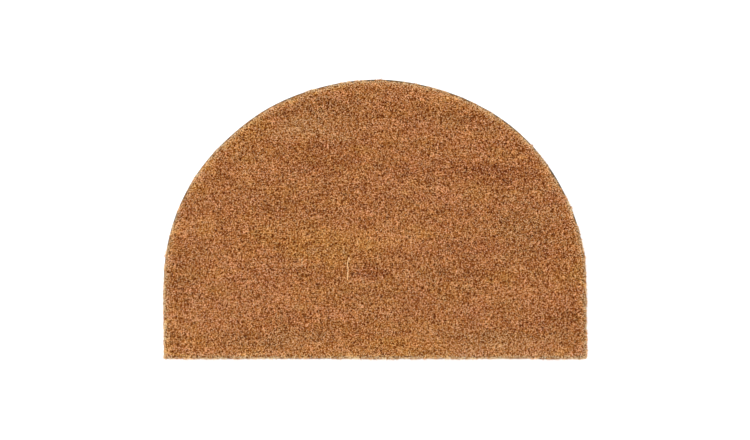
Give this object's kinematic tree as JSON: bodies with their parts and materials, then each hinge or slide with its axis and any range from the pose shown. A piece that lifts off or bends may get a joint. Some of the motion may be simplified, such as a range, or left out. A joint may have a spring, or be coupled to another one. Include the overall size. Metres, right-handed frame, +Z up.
{
  "type": "half-round coir doormat",
  "caption": "Half-round entrance mat: short upright coir pile bonded into a thin black vinyl backing, with one straight edge and a curved top, lying flat.",
  "frame": {"origin": "on the floor plane, under the middle of the mat's bounding box", "axes": "+Z up out of the pile, +Y from the straight front edge towards the top of the curve, +X along the straight edge"},
  "size_m": [0.6014, 0.3969, 0.0156],
  "materials": {
    "vinyl_backing": "matt black vinyl, faint calendered grain below",
    "coir": "natural undyed coir, sheared cut pile, dull"
  },
  "bodies": {
    "root": {"backing": "vinyl_backing", "coir_pile": "coir"}
  },
  "joints": []
}
